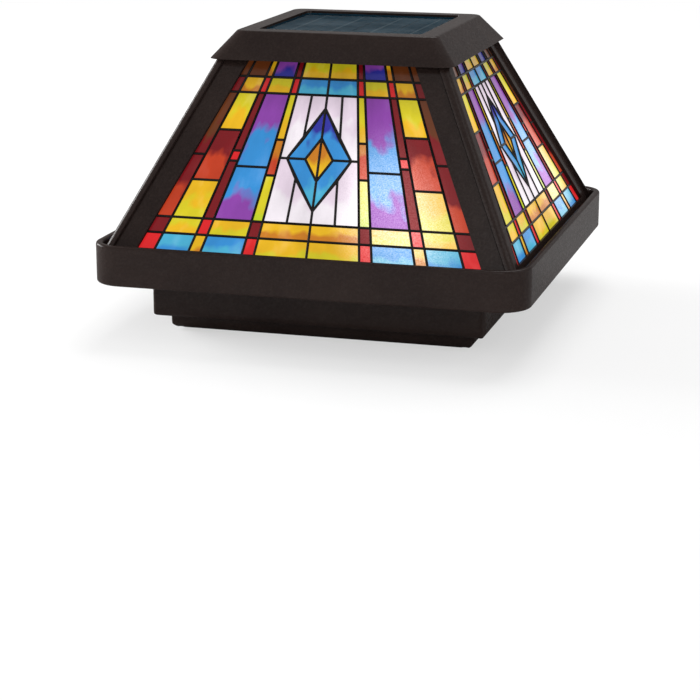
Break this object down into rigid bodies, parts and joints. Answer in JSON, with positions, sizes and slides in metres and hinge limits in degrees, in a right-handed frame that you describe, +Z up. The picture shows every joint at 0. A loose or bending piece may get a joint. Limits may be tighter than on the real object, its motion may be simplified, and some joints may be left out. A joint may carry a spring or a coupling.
{
  "type": "solar post cap light",
  "caption": "Square solar lantern that sleeves over a wooden deck post, with sloping stained panels in a dark bronze moulded shade.",
  "frame": {"origin": "centre of the collar's lowest edge, on the plane that it stands on", "axes": "+Z up along the post, -Y towards the viewer's front panel, +X to the right of that panel"},
  "size_m": [0.158, 0.158, 0.1065],
  "materials": {
    "bronze_plastic": "fine cast texture, satin, dark bronze",
    "white_plastic": "smooth moulded",
    "stained_acrylic": "translucent, printed in bright colours with dark lines",
    "frosted_acrylic": "frosted, translucent",
    "solar_silicon": "dark blue-green cells with fine silver lines",
    "clear_cover": "clear, polished",
    "gasket_foam": "closed-cell foam",
    "board_laminate": "green solder mask",
    "led_epoxy": "clear epoxy over a yellow phosphor",
    "battery_sleeve": "shrink sleeve over a steel can",
    "wire_sleeve": "soft insulation, one red and one black",
    "black_plastic": "moulded",
    "steel": "zinc plated"
  },
  "bodies": {
    "base": {"post_collar": "bronze_plastic", "base_tray": "bronze_plastic", "collar_screws": "steel", "floor_reflector": "white_plastic", "corner_cage": "bronze_plastic", "cage_screws": "steel", "panel_frame_front": "bronze_plastic", "panel_frame_right": "bronze_plastic", "panel_frame_back": "bronze_plastic", "panel_frame_left": "bronze_plastic", "stained_panel_front": "stained_acrylic", "stained_panel_right": "stained_acrylic", "stained_panel_back": "stained_acrylic", "stained_panel_left": "stained_acrylic", "diffuser_front": "frosted_acrylic", "diffuser_right": "frosted_acrylic", "diffuser_back": "frosted_acrylic", "diffuser_left": "frosted_acrylic"},
    "cap": {"cap_housing": "bronze_plastic", "solar_cell": "solar_silicon", "solar_cover": "clear_cover", "solar_leads": "wire_sleeve", "cap_gasket": "gasket_foam", "cap_tub": "white_plastic", "cap_screws": "steel", "circuit_board": "board_laminate", "board_screws": "steel", "led_pair": "led_epoxy", "led_lens": "frosted_acrylic", "battery": "battery_sleeve", "spring_contact": "steel", "plate_contact": "steel", "switch_body": "black_plastic", "door_pin": "steel"},
    "battery_door": {"battery_door": "white_plastic"},
    "switch_slider": {"switch_slider": "white_plastic"}
  },
  "joints": [
    {"name": "cap_lift", "type": "slide", "parent": "base", "child": "cap", "axis": [0, 0, 1], "range_m": [0, 0.05]},
    {"name": "battery_door_hinge", "type": "hinge", "parent": "cap", "child": "battery_door", "pos_m": [0, 0.027, 0.0835], "axis": [1, 0, 0], "range_deg": [0, 100]},
    {"name": "switch_slide", "type": "slide", "parent": "cap", "child": "switch_slider", "axis": [1, 0, 0], "range_m": [0, 0.003]}
  ]
}
